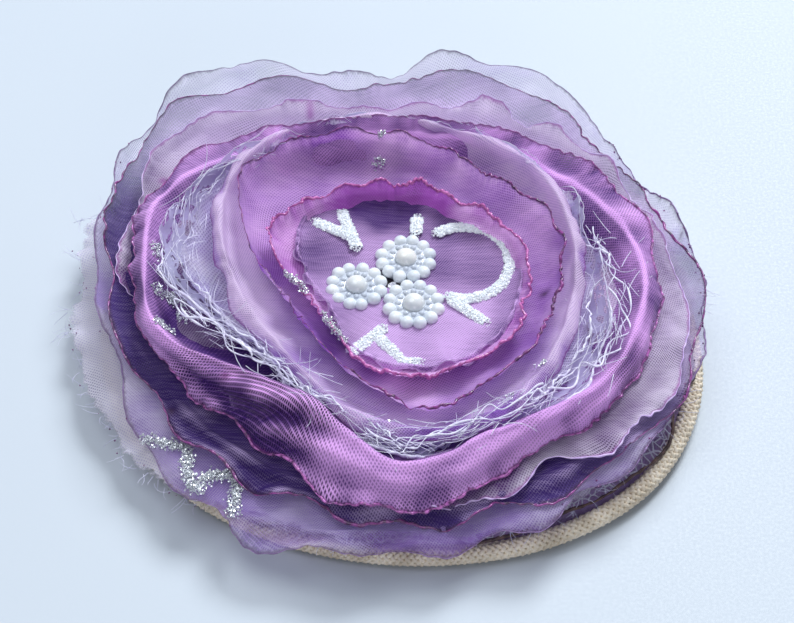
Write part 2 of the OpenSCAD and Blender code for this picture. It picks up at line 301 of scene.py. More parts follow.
def mesh(name, points, faces, material, uv=None, smooth=True, **attributes):
    data = bpy.data.meshes.new(name)
    points = np.asarray(points, float) * MM
    faces = np.asarray(faces, int)
    data.vertices.add(len(points))
    data.vertices.foreach_set("co", points.astype(np.float32).ravel())
    k = faces.shape[1]
    data.loops.add(faces.size)
    data.loops.foreach_set("vertex_index", faces.astype(np.int32).ravel())
    data.polygons.add(len(faces))
    data.polygons.foreach_set("loop_start", np.arange(0, faces.size, k, dtype=np.int32))
    data.polygons.foreach_set("use_smooth", np.full(len(faces), smooth))
    if uv is not None:
        layer = data.uv_layers.new(name="flat")
        layer.data.foreach_set("uv", (np.asarray(uv) * MM)[faces.ravel()].astype(np.float32).ravel())
    for key, values in attributes.items():
        made = data.attributes.new(key, "FLOAT", "POINT")
        made.data.foreach_set("value", np.asarray(values, np.float32).ravel())
    data.update(calc_edges=True)
    data.validate()
    o = bpy.data.objects.new(name, data)
    scene.collection.objects.link(o)
    data.materials.append(material)
    return o


def grid_faces(rows, columns):
    """Faces of a grid of points, rows x columns, whose columns go round."""
    i, j = np.meshgrid(np.arange(rows - 1), np.arange(columns), indexing="ij")
    k = (j + 1) % columns
    near, far = i * columns, (i + 1) * columns
    return np.stack([near + j, near + k, far + k, far + j], -1).reshape(-1, 4)


def tube(path, radius, sides=6, closed=True):
    """Points and faces of a tube along path, of a radius for each point of it."""
    path = np.asarray(path, float)
    n = len(path)
    ahead = np.roll(path, -1, 0) - np.roll(path, 1, 0)
    if not closed:
        ahead[0], ahead[-1] = path[1] - path[0], path[-1] - path[-2]
    ahead /= np.linalg.norm(ahead, axis=1)[:, None] + 1e-12
    side = np.cross(ahead, np.tile([0.13, 0.21, 0.97], (n, 1)))
    side /= np.linalg.norm(side, axis=1)[:, None] + 1e-9
    up = np.cross(side, ahead)
    a = around(sides)[None, :, None]
    ring = side[:, None] * np.cos(a) + up[:, None] * np.sin(a)
    radius = np.broadcast_to(np.asarray(radius, float), n)
    points = (path[:, None] + ring * radius[:, None, None]).reshape(-1, 3)
    i, j = np.meshgrid(np.arange(n if closed else n - 1), np.arange(sides), indexing="ij")
    i2, j2 = (i + 1) % n, (j + 1) % sides
    faces = np.stack([i * sides + j, i2 * sides + j, i2 * sides + j2, i * sides + j2], -1).reshape(-1, 4)
    return points, faces


def joined(parts):
    """Points and faces of several tubes or grids as one mesh."""
    points, faces, start = [], [], 0
    for p, f in parts:
        points.append(p)
        faces.append(f + start)
        start += len(p)
    return np.concatenate(points), np.concatenate(faces)


def curve(a, b, c, d, t):
    """The smooth curve through b and c at t from 0 to 1, with a before them and d after them."""
    return b + 0.5 * t * (c - a + t * (2 * a - 5 * b + 4 * c - d + t * (3 * (b - c) + d - a)))


def stations(text):
    """Value at each 20 degrees from +X, anticlockwise, as a smooth function of the angle in radians.
    2*5 in the text says 2 five times."""
    v = []
    for word in text.split():
        value, _, times = word.partition("*")
        v += [float(value)] * int(times or 1)
    assert len(v) == 18, text
    v = np.array(v)

    def at(angle):
        x = np.degrees(angle) % 360 / 20
        i = np.floor(x).astype(int)
        t = x - i
        a, b, c, d = (v[(i + k) % 18] for k in (-1, 0, 1, 2))
        return curve(a, b, c, d, t)

    return at


# a sum of sines stays within about this many of its root mean squares
WOBBLE_PEAK = 1.6


def waves(angle, lowest, highest, seed, count=14):
    """A periodic wobble of the angle, about -1 to 1."""
    r = rng(seed)
    out = 0
    for n, phase in zip(r.integers(lowest, highest + 1, count), r.uniform(0, 2 * math.pi, count)):
        out = out + np.sin(n * angle + phase)
    return out / math.sqrt(count / 2) / WOBBLE_PEAK


def ripples(points, size, seed, count=26):
    """A wobble over points in space, with features about size millimetres apart, about -1 to 1."""
    r = rng(seed)
    k = r.normal(size=(count, 3))
    k *= 2 * math.pi / size / np.linalg.norm(k, axis=1)[:, None] * r.uniform(0.6, 1.5, (count, 1))
    wobble = np.sin(points @ k.T + r.uniform(0, 2 * math.pi, count)).sum(-1)
    return wobble / math.sqrt(count / 2) / WOBBLE_PEAK


def spline(knots, s):
    """Smooth curve through knots (K, N, 2) at places s from 0 to K - 1."""
    knots = np.concatenate([2 * knots[:1] - knots[1:2], knots, 2 * knots[-1:] - knots[-2:-1]])
    i = np.clip(np.floor(s).astype(int), 0, len(knots) - 4)
    t = (s - i)[:, None, None]
    a, b, c, d = (knots[i + k] for k in range(4))
    return curve(a, b, c, d, t)


ANGLES = 720
THETA = around(ANGLES)
# 1 towards the back of the flower, where the petals stand up, and 0 towards the front, where they droop
STANDING = stations("0.6 0.85 1*5 0.9 0.7 0.45 0.2 0.05 0*3 0.05 0.15 0.35")


def polar(angle, r, z=0.0):
    return np.array([r * math.cos(math.radians(angle)), r * math.sin(math.radians(angle)), z])


def spots(points, marks):
    """Sum of round marks (angle, radius, size, amount) over points, seen from above."""
    out = np.zeros(points.shape[:-1])
    for angle, r, size, amount in marks:
        d = np.linalg.norm(points[..., :2] - polar(angle, r)[:2], axis=-1)
        out += amount * np.exp(-((d / size) ** 2))
    return out


# how far in from the rim, in millimetres, its crinkles reach and its lit band fades
CRINKLED = 1.5
LIT_BAND = 1.3


def petal(name, rings, material, seed, pleat=0.35, crinkle=0.35, rows=48, crest_at=None, crest_w=0.35,
          lit=0.35, base=0.4, back_lit=0.25, hem=None, hem_r=0.14, strong=None, painted_light_and_shade=(), burns=(), loose=(),
          sway=0.6, back_light_share=STANDING, sheer=None, rim_lit=0.0, ridges=()):
    """A disc of cloth through rings of (radius, height), from the stitched middle to the rim,
    each a function of the angle. It is pleated towards the rim, and its edge is crinkled."""
    knots = [[np.broadcast_to(f(THETA) if callable(f) else f, ANGLES) for f in ring] for ring in rings]
    last = len(rings) - 1
    s = last * (1 - (1 - np.linspace(0, 1, rows)) ** 1.35)
    profile = spline(np.array(knots).transpose(0, 2, 1), s)
    r, z = profile[..., 0], profile[..., 1]
    share = (s / last)[:, None]
    steps = np.hypot(np.diff(r, axis=0), np.diff(z, axis=0))
    cloth_r = r[:1] + np.concatenate([np.zeros((1, ANGLES)), np.cumsum(steps, 0)])
    flat_r = cloth_r.mean(1)[:, None] + 0 * r
    to_edge = cloth_r[-1:] - cloth_r
    # folds that run outwards and grow towards the rim
    grow = np.clip((share - 0.25) / 0.6, 0, 1) ** 1.3
    turn = THETA[None, :] + 0.3 * share
    wavy = 0.9 * waves(turn, 5, 11, 7) + 0.6 * waves(turn, 12, 24, seed)
    wavy = wavy + 0.16 * waves(turn, 30, 55, seed + 1)
    near = np.exp(-to_edge / CRINKLED)
    calm = 0.5 + 0.5 * waves(THETA, 3, 9, seed + 12)
    fine = crinkle * near * np.clip(0.35 + calm, 0.15, 1.4)
    fold = pleat * grow * wavy
    fold = fold + fine * (0.7 * waves(THETA, 30, 60, seed + 2) + 0.28 * waves(THETA, 90, 160, seed + 3))
    # ridges that run slanting along the rim: (middle angle, spread, first and last ring, count, height)
    ridge = np.zeros_like(r)
    for middle, spread, first, final, count, height in ridges:
        u = np.clip((s[:, None] - first) / (final - first), 0, 1)
        aside = ((np.degrees(THETA) - middle + 180) % 360 - 180) / spread
        swing = 2 * math.pi * count * u + 2.2 * aside + 1.2 * waves(THETA, 2, 6, seed + 20)
        ridge = ridge + height * np.sin(math.pi * u) ** 0.6 * np.sin(swing) * np.exp(-aside ** 2)
    # the folds move the cloth along its normal, and the rim sways along its slope
    fold = fold + ridge
    slope_r, slope_z = np.gradient(r, axis=0), np.gradient(z, axis=0)
    length = np.hypot(slope_r, slope_z) + 1e-9
    reach = sway * near * waves(THETA, 9, 22, seed + 4) + fine * 0.3 * waves(THETA, 60, 140, seed + 5)
    points = round_axis(r - slope_z / length * fold + reach * slope_r / length, THETA,
                        z + slope_r / length * fold + reach * slope_z / length)

    def rippled(size, step, squash=1.0):
        return ripples(points.reshape(-1, 3) * [1, 1, squash], size, seed + step).reshape(rows, ANGLES)

    body = rippled(7.0, 6, 0.5)
    points[..., 2] += (0.22 * body + 0.05 * rippled(2.2, 7)) * np.clip(share * 2, 0, 1)
    flat = round_axis(flat_r, THETA, 0)[..., :2]
    # painted light and shade in the tone: its random tone, lighter at the back where light comes through the
    # standing petals, and lighter on raised ripples
    tone = base + back_lit * back_light_share(THETA) + 0.2 * rippled(14.0, 8) + 0.12 * body
    # lighter on the crests of folds and ridges and darker in their hollows: painted light and painted shade
    tone = tone + 0.3 * np.clip((fold - ridge) / (pleat + 0.01), -1, 1) * grow + 0.5 * ridge
    # a painted highlight along the crest
    if crest_at is not None:
        crest = np.exp(-(((s[:, None] - crest_at) / crest_w) ** 2))
        tone = tone + (lit(THETA) if callable(lit) else lit) * crest
    # a painted highlight at the rim, and round marks of painted light and shade
    tone = tone + rim_lit * np.exp(-to_edge / LIT_BAND) + spots(points, painted_light_and_shade)
    opened = np.clip(0.5 * rippled(11.0, 9) - 0.15, 0, 1)
    opened = np.clip(opened + spots(points, loose), 0, 1)
    clear = (0 if sheer is None else sheer(THETA)) + 0 * to_edge
    o = mesh(name, points.reshape(-1, 3), grid_faces(rows, ANGLES), material, uv=flat.reshape(-1, 2),
             edge=to_edge, tone=np.clip(tone, 0, 1), open=opened, burn=np.clip(spots(points, burns), 0, 1),
             sheer=np.clip(clear, 0, 0.9))
    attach(o, "flower")
    width = 2 * flat_r[-1, 0] * MM
    along = []
    if hem is not None:
        power = 1.0 if strong is None else np.clip(strong(THETA), 0, 1.5)
        beads = 1 + 0.35 * waves(THETA, 70, 160, seed + 10) + 0.4 * waves(THETA, 8, 30, seed + 11)
        p, f = tube(points[-1], np.clip(hem_r * power * beads, 0.03, 0.3), 6)
        h = mesh(name.replace("_cloth", "") + "_edge", p, f, hem)
        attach(h, "flower")
        along.append(h)
    return o, points, width, along


def put(name, parts, material, smooth=True, body="flower"):
    """One piece made of several point and face sets."""
    points, faces = joined(parts)
    o = mesh(name, points, faces, material, smooth=smooth)
    if body:
        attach(o, body)
    return o


def grains(centres, size, seed, squash=1.0):
    """Points and faces of small faceted flakes of about size millimetres, one at each centre."""
    r = rng(seed)
    n = len(centres)
    base = np.array([(1, 0, 0), (-1, 0, 0), (0, 1, 0), (0, -1, 0), (0, 0, 1), (0, 0, -1)], float)
    tris = np.array([(0, 2, 4), (2, 1, 4), (1, 3, 4), (3, 0, 4), (2, 0, 5), (1, 2, 5), (3, 1, 5), (0, 3, 5)])
    turn = np.linalg.qr(r.normal(size=(n, 3, 3)))[0]
    shape = base[None] * r.uniform(0.6, 1.3, (n, 6, 1)) * np.array([1, 1, squash])
    scale = size / 2 * r.uniform(0.6, 1.5, (n, 1, 1))
    points = np.einsum("nij,nkj->nki", turn, shape) * scale + np.asarray(centres)[:, None]
    faces = tris[None] + 6 * np.arange(n)[:, None, None]
    return points.reshape(-1, 3), faces.reshape(-1, 3)


FIBRE_STEPS = 7


def fibres(starts, ways, length, radius, seed, curl=0.5):
    """Fine loose threads: one from each start, along its way, curling as it goes."""
    r = rng(seed)
    parts = []
    for start, way in zip(starts, ways):
        way = np.asarray(way, float) / (np.linalg.norm(way) + 1e-9)
        long = length * r.uniform(0.4, 1.3)
        drift = r.normal(size=3) * curl
        point, path = np.asarray(start, float), []
        for k in range(FIBRE_STEPS):
            path.append(point)
            way = way + drift * 0.35 + r.normal(size=3) * curl * 0.15
            way /= np.linalg.norm(way)
            point = point + way * long / (FIBRE_STEPS - 1)
        path = np.array(path)
        path[:, 2] = np.maximum(path[:, 2], 0.3)
        parts.append(tube(path, radius * np.linspace(1, 0.5, FIBRE_STEPS), 4, closed=False))
    return parts


def along_line(points, spacing):
    """Points about spacing apart along a line of points."""
    points = np.asarray(points, float)
    d = np.concatenate([[0], np.cumsum(np.linalg.norm(np.diff(points, axis=0), axis=1))])
    t = np.linspace(0, d[-1], max(2, int(d[-1] / spacing)))
    return np.stack([np.interp(t, d, points[:, k]) for k in range(3)], -1)


def surface_at(points, angle, r):
    """The point of a petal at an angle in degrees and a radius, from above."""
    flat = points.reshape(-1, 3)
    d = np.linalg.norm(flat[:, :2] - polar(angle, r)[:2], axis=1)
    return flat[np.argmin(d)]
# ---------------- petals

PLUM = (58, 26, 62)
MAGENTA = (160, 66, 150)
LOOKS = {}
# colours painted in shade in folds and in light on crests, the colour where singed, then the weave's cover,
# pitch, opening, glow and raggedness
for name, *values in (
    ("organza_pale", (160, 120, 208), (246, 234, 255), (96, 66, 104), 0.58, 0.36, 0.25, 0.45),
    ("organza_deep", (52, 18, 104), (240, 212, 254), PLUM, 0.9, 0.36, 0.3, 0.3),
    ("organza_lilac", (160, 98, 206), (254, 230, 255), (150, 80, 160), 0.9, 0.36, 0.3, 0.45),
    ("organza_rib", (108, 44, 138), (252, 236, 255), (190, 110, 190), 0.84, 0.36, 0.35, 0.45),
    ("organza_mauve", (66, 24, 112), (246, 184, 255), (110, 44, 110), 0.95, 0.42, 0.75, 0.2),
    ("organza_soft", (150, 84, 192), (250, 208, 254), PLUM, 0.84, 0.36, 0.2, 0.48),
    ("organza_pink", (186, 94, 200), (250, 200, 250), MAGENTA, 0.95, 0.36, 0.2, 0.35),
    ("organza_floor", (76, 42, 116), (232, 190, 246), (236, 216, 246), 0.97, 0.3, 0.05, 0.3),
    ("tulle_soft", (196, 172, 246), (250, 244, 255), (242, 240, 255), 0.85, 0.4, 0.05, 0.5, 1.6),
    ("lace_soft", (178, 160, 220), (246, 240, 255), (240, 236, 252), 0.7, 0.5, 0.15, 0.45, 1.0),
):
    LOOKS[name] = cloth(name, *values)
LOOKS["lace"] = web("lace", (222, 220, 246), 0.8, 1.5, 0.2, torn=1.0, pull=3.0)
LOOKS["net"] = web("net", (226, 228, 236), 0.85, 1.1, 0.16, torn=0.1)
# hems and cords: two colours, how fine they change, roughness, relief and gloss
for name, one, other, fine, rough, relief, gloss in (
    ("singed_plum", (56, 24, 66), (158, 70, 150), 900, 0.3, 0.6, 0.5),
    ("singed_magenta", (140, 48, 124), (214, 118, 190), 900, 0.3, 0.6, 0.5),
    ("singed_grey", (104, 82, 120), (150, 120, 170), 900, 0.4, 0.6, 0.0),
    ("singed_violet", (76, 26, 84), (214, 122, 206), 1400, 0.35, 0.7, 0.4),
    ("lace_cord", (214, 206, 234), (240, 238, 250), 900, 0.5, 0.7, 0.0),
    ("pale_hem", (196, 164, 222), (226, 204, 240), 900, 0.4, 0.4, 0.0),
    ("burnt_brown", (52, 34, 40), (110, 84, 76), 900, 0.6, 0.8, 0.0),
):
    LOOKS[name] = solid(name, one, other, fine, rough, bump=relief, grain=3000, coat=gloss)



# radius of the stitched middle that each layer starts from
STITCHED = 3.0


def cup(rim_r, rim_z, hub_z, wall=3.0, knee=7.0, swell=0.8):
    """Rings of a layer that stands up at the back and droops over its edge at the front."""
    w = STANDING
    return [
        (STITCHED, hub_z),
        (lambda a: 0.6 * (rim_r(a) - knee), hub_z + 0.1),
        (lambda a: rim_r(a) - knee,
         lambda a: (1 - w(a)) * (rim_z(a) + 0.9 * swell) + w(a) * (hub_z + 0.6 + 0.1 * (rim_z(a) - hub_z))),
        (lambda a: rim_r(a) - knee * (0.45 * (1 - w(a)) + 0.2 * w(a)),
         lambda a: rim_z(a) + (1 - w(a)) * swell - w(a) * wall),
        (rim_r, rim_z),
    ]


LOW = cup(stations("50 47 46 52 50 46 56 56 52 49 47 49.5 51.5 50.8 49.5*3 50"),
          stations("12 15 16 17 17 16 17 15 13 11 9 7.5 7*3 8 9 10.5"), 10.6)
MID = cup(stations("49 44 43 46 45 41 49 53 50 47 45 44 44 45 46 46.5 48.5 49.5"),
          stations("13.5 16.5 17.5 18*4 16.5 15 13 11 9.7 9.2 9.1 9 9.2 10 11.5"), 11)
HIGH = cup(stations("45 42 40 39 36 35 41 48 46.5 44 40.5 36 35.5 38.5 44 43 47 48.5"),
           stations("15 18 19*5 17.5 15.5 13 11.3 10.5 10*3 10.8 11.5 12.5"), 11.2)

fold_r = stations("42 40 36 33 31.5 32 34 40 44 43 41 39 39 44 44 40 42 42.5")
fold_z = stations("17 19 20*5 19 17 14 13 12 11.8 11.2 11 12 12.5 14.5")
fold_line = stations("39 35.5 32 31 29 29.5 31.5 36.5 41.5 40.5 40 33.5 31.5 36 38.3 37.5 40 40")


def peak(angle, at, width):
    """1 at an angle in degrees, falling away on both sides."""
    return np.exp(-(((np.degrees(angle) - at + 180) % 360 - 180) / width) ** 2)


def fold_crest_r(a):
    return fold_line(a) + 1.8 * peak(a, 271, 8) - 1.0 * peak(a, 250, 10) - 0.8 * peak(a, 290, 8)


fold_height = stations("18.5*2 18*6 17.8 17.6 17 17.3 17.5 16.7 16.3 17 17.8 18.5")


def fold_crest_z(a):
    return fold_height(a) - 0.9 * peak(a, 271, 8) + 0.5 * peak(a, 245, 12)


FOLD = [
    (STITCHED, 11.5),
    (lambda a: 0.55 * fold_crest_r(a), 11.6),
    (lambda a: fold_crest_r(a) - 5.5, 12.2),
    (lambda a: fold_crest_r(a) - 1.6, lambda a: fold_crest_z(a) - 1.6),
    (fold_crest_r, fold_crest_z),
    (lambda a: 0.55 * fold_crest_r(a) + 0.45 * fold_r(a) + 0.6 * (1 - STANDING(a)),
     lambda a: 0.62 * fold_crest_z(a) + 0.38 * fold_z(a)),
    (fold_r, fold_z),
]


def inner(rim_r, rim_z, hub_z, lip=0.0):
    """Rings of a layer that stands up all round, with its rim rolled over outwards by lip."""
    rolled = [(lambda a: rim_r(a) + 0.8 * lip, lambda a: rim_z(a) - 0.25 * lip),
              (lambda a: rim_r(a) + 1.35 * lip, lambda a: rim_z(a) - 1.1 * lip)] if lip else []
    return [
        (STITCHED, hub_z),
        (lambda a: 0.5 * rim_r(a), hub_z),
        (lambda a: 0.84 * rim_r(a), hub_z + 0.4),
        (lambda a: 0.965 * rim_r(a), lambda a: rim_z(a) - 0.45 * (rim_z(a) - hub_z)),
        (rim_r, rim_z),
        *rolled,
    ]


LACE_LOW = inner(
    stations("32.5 31.5 31 31.5*2 32.5 34 36 38.5 38 31.8 27.6 29.6 35 38 37 38 35.5"),
    stations("18 19 19.5*5 19 18 17 16 15.2 14.9 14.6*2 15.2 16 17"), 12.2)
LACE_UP = inner(
    stations("32.3 31 30.5 30.8 31 31.5 33 34 35 34 30 26.6 28 32.4 35.5 34.5*2 32.5"),
    stations("18.4 19.2 19.6*5 19.2 18.2 17.2 16.4 15.8 15.6 15.4*2 15.8 16.6 17.6"), 12.5)
MIDDLE = inner(
    stations("28.5 29 30 30 30.5 32 33.5*2 30.5 27 25 24.5 26.5 31 33.5 33 30.5 29"),
    stations("18.5 19 19.5*5 19 18.3 17.3 16.7 16.5*4 17 17 18"), 12.8, lip=1.4)
OUTER_PLUM = inner(
    stations("26.5 27 24 24 26.5 29 31 32.5 27 22 19.5 19 21 25.5 30 28 27.5 26.5"),
    stations("18.5 19 19.5*5 19 18.3 17.8 17.4 17*5 17.5 18"), 13.2)
PINK = inner(
    stations("21 20 17.5 17 17.5 18 18.5 20.5 22 18.5 16 15.5 17.5 22 23 23 23.5 22"),
    stations("17.8 18*8 17.2 16.7 16.5*5 17 17.4"), 13.6)
FLOOR = inner(
    stations("20 20 18.5 17.5 17 17.5 18.5 19.5 17 14.5 13 13 16 18.5 20 20.5*2 20"),
    stations("15.6*8 15.5 15.3 15.2 15.1 15*4 15.2 15.4"), 14.2, lip=0.5)

CLOTH = {}
# marks of painted light and shade, as (angle, radius, size, amount): darker in cavities and on walls under
# rims where shade falls, lighter on faces and crests that catch the light; the back of a petal, some crests
# and some rims are painted lighter too
for name, rings, look, hem, hem_r, seed, extra in (
    ("outer_petal_low", LOW, "organza_pale", "singed_grey", 0.1, 11, dict(
        pleat=0.65, crinkle=0.4, sway=1.5, ridges=((264, 32, 2.6, 4.1, 1.3, 0.3),), base=0.25, back_lit=0.7,
        strong=stations("1.4 1.2 .7 .5 .4*3 .7 1 1 .8 .5 .4 .5 .6 .7 1 1.4"),
        painted_light_and_shade=((240, 48, 8, -0.1), (270, 48, 8, -0.2), (180, 48, 8, -0.4), (160, 50, 7, -0.3),
               (310, 48, 8, -0.1)),
        burns=((356, 45, 0.5, 1), (10, 43, 0.4, 1), (351, 49, 0.45, 1), (2, 49.5, 0.4, 1), (12, 48, 0.5, 1),
               (20, 46.5, 0.4, 1), (340, 49.5, 0.4, 1)))),
    ("outer_petal_mid", MID, "organza_deep", "singed_plum", 0.16, 23, dict(
        pleat=0.55, crinkle=0.45, sway=1.2, base=0.1, back_lit=0.7,
        ridges=((240, 38, 2.6, 4.1, 1.6, 0.4), (310, 30, 2.6, 4.1, 1.3, 0.3)),
        back_light_share=stations(".5 .8 1*5 .5 0*8 .1 .3"),
        sheer=stations(".5 .35 .3 .25 .2 .2 .25*2 .1 0*7 .15 .4"),
        strong=stations("1 1 .7 .4 .3 .3 .4 .6 .9 1*3 1.2*3 .8 .7 .9"),
        painted_light_and_shade=((180, 45, 8, -0.6), (162, 46, 7, -0.5), (200, 44, 7, -0.4)),
        burns=((215, 43, 0.8, 1), (239, 45, 1, 1), (331, 45, 0.4, 1), (343, 46.5, 0.4, 1),
               (349, 47.5, 0.5, 1), (6, 48, 0.4, 1)))),
    ("outer_petal_high", HIGH, "organza_rib", "pale_hem", 0.12, 37, dict(
        pleat=0.6, crinkle=0.5, sway=1.1, base=0.15, back_lit=0.9, rim_lit=0.6,
        back_light_share=stations(".7 .9 1*5 .9 .5 .2 0*4 .1 .35 .6 .6"),
        strong=stations(".7 .6 .5 .4*4 .5 .6 .8 1 1.2 1.4 1.2 1*3 .8"),
        burns=((94, 33, 0.7, 1), (113, 38, 0.7, 1), (151, 45, 0.7, 1)))),
    ("fold_petal", FOLD, "organza_mauve", "singed_violet", 0.15, 41, dict(
        pleat=0.35, crinkle=0.5, rows=72, crest_at=4.1, crest_w=0.28, lit=0.75, base=0.35, back_lit=0.2,
        ridges=((234, 26, 4.1, 6.15, 2.0, 0.95), (302, 30, 4.2, 6.15, 1.5, 0.45)),
        strong=stations("1.2 .8 .3 .2*4 .3 .8 1.1 1.3 1.4 1.5*2 1.4*4"),
        painted_light_and_shade=((180, 30, 6, -0.3), (197, 31, 6, -0.5), (210, 31, 4, -1.0), (221, 27, 4, -1.0),
               (233, 24, 4, -1.0), (248, 26, 4, -1.0), (265, 31, 4.5, -1.0), (283, 30, 4, -0.9),
               (278, 42, 5, 0.5), (290, 40, 5, 0.5), (305, 38, 6, 0.7), (322, 40, 6, 0.7),
               (340, 40, 6, 0.15), (255, 40, 5, 0.25), (240, 37, 4, -0.5), (226, 37, 4, -0.4),
               (0, 38, 7, 0.1), (205, 38, 5, 0.3), (222, 34.2, 1.6, 0.9), (231, 33, 1.6, 0.9),
               (240, 32, 1.6, 0.9), (249, 32.4, 1.6, 0.6)),
        loose=((228, 35, 6, 1.0), (243, 34, 6, 1.0), (212, 38, 4, 0.5)), burns=((221, 35, 0.8, 1),))),
    ("lace_lower", LACE_LOW, "lace", "lace_cord", 0.26, 53, dict(
        pleat=0.5, crinkle=0.25, sway=1.1,
        strong=stations(".3 .2 .1*6 .2 .5 1 1.1*2 1 1.3 1.5 1 .6"))),
    ("lace_upper", LACE_UP, "lace_soft", "lace_cord", 0.16, 59, dict(
        pleat=0.5, crinkle=0.4, sway=1.4, base=0.6,
        strong=stations(".8 .4 .1*6 .3 .6 1 1 .8 .6 .8 1 1.2 1"))),
    ("middle_petal", MIDDLE, "organza_lilac", None, 0, 61, dict(
        pleat=0.4, crinkle=0.2, crest_at=4.0, crest_w=0.9, base=0.5,
        lit=stations(".8 .8 .6 .4 .3 .3 .5 .8 1 1 .8 .5 .3 0 -.2 -.1 .3 .7"),
        painted_light_and_shade=((150, 29, 5, 0.5), (160, 26.5, 4, 0.6), (173, 25, 4, 0.6), (195, 24, 5, 0.4),
               (215, 23, 5, 0.2), (345, 30, 6, 0.4), (15, 28, 5, 0.3)))),
    ("inner_petal_outer", OUTER_PLUM, "organza_soft", "singed_plum", 0.16, 71, dict(
        pleat=0.3, crinkle=0.35, burns=((350, 24, 0.8, 1),),
        strong=stations("1.4 1.3 1.1 .8 .6 .5*4 .3 .2 .3 .5 .9 1.2 1.3 1.4*2"),
        painted_light_and_shade=((350, 25, 3, -0.3), (325, 27, 3, -0.3), (272, 23, 5, 0.5), (290, 24, 5, 0.5)))),
    ("inner_petal_inner", PINK, "organza_pink", "singed_magenta", 0.22, 83, dict(
        pleat=0.25, crinkle=0.35, base=0.55,
        strong=stations("1 1 1.3*2 1.2 .8 .8 .9 .9 .7 .5 .6 1 1.3*3 1.2 1"),
        painted_light_and_shade=((95, 16, 6, -1.0), (70, 16, 5, -0.9), (120, 17, 4, -0.8), (275, 22, 6, 0.4),
               (300, 22, 6, 0.3)))),
    ("centre_petal", FLOOR, "organza_floor", None, 0, 97, dict(
        pleat=0.1, crinkle=0.15, base=0.55, back_lit=0.0, crest_at=4.0, crest_w=0.15, lit=0.5,
        painted_light_and_shade=((270, 15, 7, 0.35), (300, 14, 6, 0.35), (90, 15, 5, -0.8), (110, 15, 4, -0.4),
               (15, 12, 6, -0.2)))),
):
    o, points, width, along = petal(
        name + "_cloth", rings, LOOKS[look], seed, hem=LOOKS.get(hem), hem_r=hem_r, **extra)
    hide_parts(name)
    CLOTH[name] = points

# torn fibres of the lace, which run along it and hang off its rim
r = rng(15)
starts, ways = [], []
for name, count in (("lace_lower", 230), ("lace_upper", 200)):
    points = CLOTH[name]
    rows_in = r.integers(26, 48, count)
    # most of them from the left round the front to the right
    pick = (r.normal(0.5, 0.28, count) % 1.0 * ANGLES * 0.62 + ANGLES * 0.36).astype(int) % ANGLES
    place = points[rows_in, pick]
    ahead = unit(points[rows_in, (pick + 3) % ANGLES] - place)
    outward = unit(place * [1, 1, 0])
    starts.append(place + [0, 0, 0.25])
    ways.append(ahead * r.choice([-1, 1], count)[:, None] + outward * r.uniform(-0.4, 0.15, count)[:, None])
threads = fibres(np.concatenate(starts), np.concatenate(ways), 6.0, 0.07, 16, curl=0.25)
# thick strands along the lace's rim, as (angle, radius, height), each a few cords with short hairs
for cords, route in (
    (3, ((194, 35.6, 17.6), (206, 31.8, 17.4), (222, 29.4, 17), (240, 29, 16.6), (254, 30.6, 16.4),
         (264, 33.2, 16.2), (271, 35.8, 16.6))),
    (3, ((271, 36.8, 16.8), (281, 35.4, 17), (292, 34.6, 17.2), (303, 34.4, 17.2), (312, 34.8, 17))),
    (2, ((312, 35.4, 17), (324, 36.6, 17.2), (336, 37.4, 17.4), (348, 36.5, 17.8), (0, 34.6, 18.2),
         (12, 33, 18.8))),
):
    knots = np.array([polar(*k) for k in route])[:, None, :]
    path = spline(knots, np.linspace(0, len(route) - 1, 30 * len(route)))[:, 0]
    for k in range(cords):
        sway = np.stack([ripples(path + 40 * k, 7.0, 300 + 3 * k + axis) for axis in range(3)], -1)
        thick = 0.13 + 0.08 * ripples(path, 4.0, 320 + k)
        threads.append(tube(path + sway * [1.25, 1.25, 0.4], np.clip(thick, 0.05, 0.25), 5, closed=False))
    n = 9 * len(route)
    at = r.integers(2, len(path) - 2, n)
    course = unit(path[at + 1] - path[at - 1])
    aside = r.normal(size=(n, 3)) * [1.3, 1.3, 0.35]
    course = course * r.choice([-1, 1], n)[:, None] + 0.3 * r.normal(size=(n, 3))
    threads += fibres(path[at] + aside, course, 6.5, 0.08, 17 + len(route), curl=0.25)
put("lace_threads", threads, LOOKS["lace_cord"])

# ---------------- base

FRILL_IN = 34.0
frill_r = stations("49 50 51 52*3 53 54 56 54 52.5 51.5 48.5 47 47 48 48 48.5")
FRILL = [
    (FRILL_IN, 9.3),
    (lambda a: FRILL_IN + 0.4 * (frill_r(a) - FRILL_IN), 8.0),
    (lambda a: FRILL_IN + 0.75 * (frill_r(a) - FRILL_IN), 6.6),
    (frill_r, lambda a: 5.2 + 0.8 * np.sin(3 * a + 1)),
]
o, points, width, along = petal(
    "tulle_frill_cloth", FRILL, LOOKS["tulle_soft"], 103, pleat=0.9, crinkle=0.9, rows=26, base=1.2, sway=1.4)
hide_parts("tulle_frill")
r = rng(7)
pick = r.integers(0, ANGLES, 260)
pick = pick[(STANDING(THETA[pick]) + r.uniform(0, 0.5, len(pick))) > 0.1]
rim = points[-1][pick]
out = unit(rim * [1, 1, 0]) + r.normal(size=(len(pick), 3)) * 0.5
fray = solid("fray", (206, 204, 234), (228, 226, 244), 900, 0.6)
fuzz = put("tulle_frill_fray", fibres(rim - out * 0.6, out, 3.0, 0.05, 9), fray)
CLOTH["tulle_frill"] = points

net_r = stations("47.3 46.5*11 46 46 46.5 47.5 49.3 49.2")
NET = [
    (STITCHED, 10.2),
    (20.0, 10.2),
    (30.0, 10.0),
    (lambda a: 0.86 * net_r(a), 7.6),
    (net_r, 3.9),
]
o, points, width, along = petal(
    "net_underlay_cloth", NET, LOOKS["net"], 113, pleat=0.25, crinkle=0.3, rows=24, hem=LOOKS["burnt_brown"],
    hem_r=0.3, strong=stations("1 .4 .2*9 .4 .8 1*4 1.2"))
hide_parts("net_underlay")

